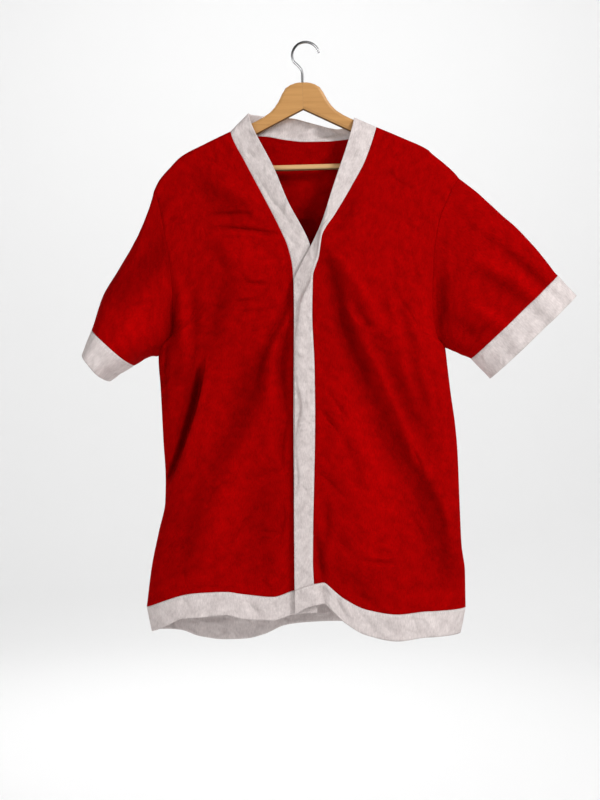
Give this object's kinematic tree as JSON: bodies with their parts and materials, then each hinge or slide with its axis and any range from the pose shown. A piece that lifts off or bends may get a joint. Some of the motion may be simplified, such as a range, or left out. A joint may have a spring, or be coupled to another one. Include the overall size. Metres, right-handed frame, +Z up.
{
  "type": "short-sleeved costume coat on a wooden hanger",
  "caption": "Red felt short-sleeved costume coat with white neck, front, cuff and hem bands, hanging open-fronted on a wooden hanger with a bar and a round wire hook.",
  "frame": {"origin": "the inside of the hook's top, where a rail carries the hanger", "axes": "+Z up, -Y towards the coat's front, +X towards the wearer's left sleeve"},
  "size_m": [0.8565, 0.1569, 1.0541],
  "materials": {
    "red_felt": "brushed felt, matt with a short nap",
    "white_felt": "thin crinkled felt, matt",
    "arm_wood": "clear satin varnish",
    "bar_wood": "clear satin varnish",
    "hook_chrome": "polished plating"
  },
  "bodies": {
    "root": {"back_upper_right": "red_felt", "back_upper_left": "red_felt", "back_lower_right": "red_felt", "back_lower_left": "red_felt", "front_right_upper": "red_felt", "front_right_lower": "red_felt", "front_left_upper": "red_felt", "front_left_lower": "red_felt", "sleeve_right_front": "red_felt", "sleeve_right_back": "red_felt", "sleeve_left_front": "red_felt", "sleeve_left_back": "red_felt", "band_right_neck": "white_felt", "band_right_upper": "white_felt", "band_right_lower": "white_felt", "band_left_neck": "white_felt", "band_left_upper": "white_felt", "band_left_lower": "white_felt", "neck_band_back": "white_felt", "cuff_right_front": "white_felt", "cuff_right_back": "white_felt", "cuff_left_front": "white_felt", "cuff_left_back": "white_felt", "hem_front_right": "white_felt", "hem_front_left": "white_felt", "hem_back_right": "white_felt", "hem_back_left": "white_felt", "hanger_arm_right": "arm_wood", "hanger_arm_left": "arm_wood", "hanger_bar": "bar_wood", "hanger_hook": "hook_chrome"}
  },
  "joints": []
}
